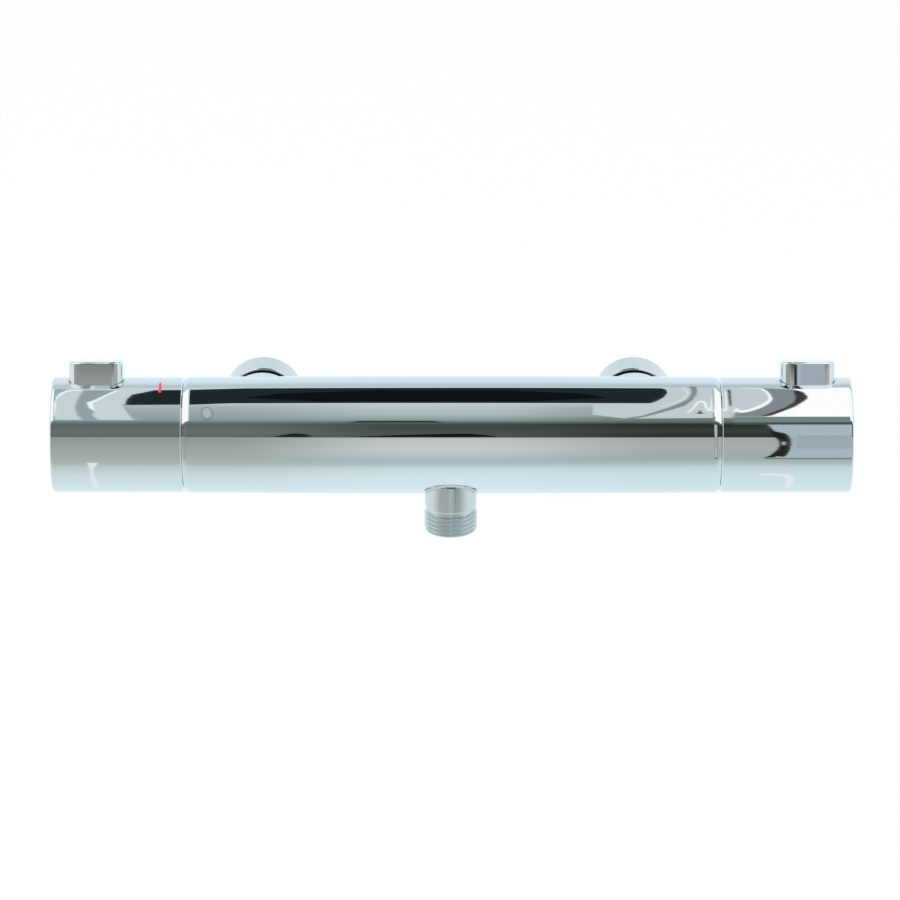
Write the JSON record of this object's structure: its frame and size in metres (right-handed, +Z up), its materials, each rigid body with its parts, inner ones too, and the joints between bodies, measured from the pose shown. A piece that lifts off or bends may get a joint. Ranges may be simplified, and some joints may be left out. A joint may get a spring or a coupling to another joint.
{
  "type": "thermostatic shower mixer",
  "caption": "Chrome bar mixer for a shower, with a temperature handle and a flow handle that each carry a push button, union nuts behind for the supplies and a threaded outlet below.",
  "frame": {"origin": "midway between the centres of the hot and cold inlet seals, in the plane that they seal on", "axes": "+X along the bar to the right of someone facing it, +Y to the wall, +Z up"},
  "size_m": [0.3176, 0.0679, 0.0682],
  "materials": {
    "chrome_bar": "polished",
    "chrome_handle": "polished",
    "chrome_button": "polished",
    "chrome_fitting": "polished",
    "mark_enamel": "gloss",
    "turned_brass": "satin",
    "cartridge_plastic": "satin",
    "valve_plastic": "satin",
    "stop_ring_plastic": "satin",
    "seal_rubber": "matte",
    "spring_steel": "satin",
    "screw_steel": "satin",
    "disc_ceramic": "satin",
    "wax_copper": "satin"
  },
  "bodies": {
    "mixer_body": {"body_casting": "chrome_bar", "outlet_nipple": "chrome_fitting", "outlet_o_ring": "seal_rubber", "cartridge_housing": "cartridge_plastic", "cartridge_nose_o_ring": "seal_rubber", "cartridge_o_rings": "seal_rubber", "cartridge_cap": "turned_brass", "cartridge_nut": "turned_brass", "return_spring": "spring_steel", "headwork_body": "turned_brass", "headwork_o_ring": "seal_rubber", "fixed_disc": "disc_ceramic", "disc_seat_seal": "seal_rubber", "temperature_stop_ring": "stop_ring_plastic", "flow_stop_ring": "stop_ring_plastic", "inlet_tail_hot": "chrome_fitting", "inlet_o_ring_hot": "seal_rubber", "filter_washer_hot": "seal_rubber", "filter_screen_hot": "spring_steel", "check_valve_body_hot": "valve_plastic", "check_valve_spring_hot": "spring_steel", "inlet_tail_cold": "chrome_fitting", "inlet_o_ring_cold": "seal_rubber", "filter_washer_cold": "seal_rubber", "filter_screen_cold": "spring_steel", "check_valve_body_cold": "valve_plastic", "check_valve_spring_cold": "spring_steel"},
    "temperature_handle": {"temperature_handle": "chrome_handle", "temperature_mark": "mark_enamel", "temperature_spline_insert": "valve_plastic", "temperature_handle_screw": "screw_steel", "temperature_end_cap": "chrome_handle", "temperature_spindle": "turned_brass", "temperature_spindle_o_ring": "seal_rubber", "safety_button_spring": "spring_steel"},
    "safety_button": {"safety_button": "chrome_button", "safety_button_clip": "spring_steel"},
    "thermostat_core": {"wax_element": "wax_copper", "shuttle_piston": "valve_plastic", "adjusting_sleeve": "turned_brass", "overtravel_clip": "spring_steel", "overtravel_plunger": "turned_brass", "overtravel_spring": "spring_steel"},
    "flow_handle": {"flow_handle": "chrome_handle", "flow_spline_insert": "valve_plastic", "flow_handle_screw": "screw_steel", "flow_end_cap": "chrome_handle", "headwork_spindle": "turned_brass", "headwork_spindle_o_ring": "seal_rubber", "headwork_spindle_clip": "spring_steel", "moving_disc": "disc_ceramic", "eco_button_spring": "spring_steel"},
    "eco_button": {"eco_button": "chrome_button", "eco_button_clip": "spring_steel"},
    "union_nut_hot": {"union_nut_hot": "chrome_fitting"},
    "union_nut_cold": {"union_nut_cold": "chrome_fitting"},
    "check_valve_poppet_hot": {"check_valve_poppet_hot": "valve_plastic"},
    "check_valve_poppet_cold": {"check_valve_poppet_cold": "valve_plastic"}
  },
  "joints": [
    {"name": "temperature_turn", "type": "hinge", "parent": "mixer_body", "child": "temperature_handle", "pos_m": [0, -0.037, 0], "axis": [1, 0, 0], "range_deg": [-45, 150]},
    {"name": "safety_button_press", "type": "slide", "parent": "temperature_handle", "child": "safety_button", "axis": [0, -0.3173, -0.9483], "range_m": [0, 0.003], "stiffness_N_per_m": 600, "springref_m": -0.004, "deforming": ["safety_button_spring"]},
    {"name": "thermostat_slide", "type": "slide", "parent": "mixer_body", "child": "thermostat_core", "axis": [-1, 0, 0], "range_m": [-0.0004, 0.0013], "deforming": ["return_spring"]},
    {"name": "flow_turn", "type": "hinge", "parent": "mixer_body", "child": "flow_handle", "pos_m": [0, -0.037, 0], "axis": [1, 0, 0], "range_deg": [0, 90]},
    {"name": "eco_button_press", "type": "slide", "parent": "flow_handle", "child": "eco_button", "axis": [0, -0.3173, -0.9483], "range_m": [0, 0.003], "stiffness_N_per_m": 600, "springref_m": -0.004, "deforming": ["eco_button_spring"]},
    {"name": "check_valve_open_hot", "type": "slide", "parent": "mixer_body", "child": "check_valve_poppet_hot", "axis": [0, -1, 0], "range_m": [0, 0.002], "stiffness_N_per_m": 100, "springref_m": -0.003, "deforming": ["check_valve_spring_hot"]},
    {"name": "check_valve_open_cold", "type": "slide", "parent": "mixer_body", "child": "check_valve_poppet_cold", "axis": [0, -1, 0], "range_m": [0, 0.002], "stiffness_N_per_m": 100, "springref_m": -0.003, "deforming": ["check_valve_spring_cold"]},
    {"name": "union_nut_spin_hot", "type": "hinge", "parent": "mixer_body", "child": "union_nut_hot", "pos_m": [-0.075, 0, 0], "axis": [0, 1, 0], "continuous": true},
    {"name": "union_nut_spin_cold", "type": "hinge", "parent": "mixer_body", "child": "union_nut_cold", "pos_m": [0.075, 0, 0], "axis": [0, 1, 0], "continuous": true}
  ],
  "couplings": [
    {"joint": "thermostat_slide", "follows": "temperature_turn", "m_per_rad": 0.00047746}
  ]
}
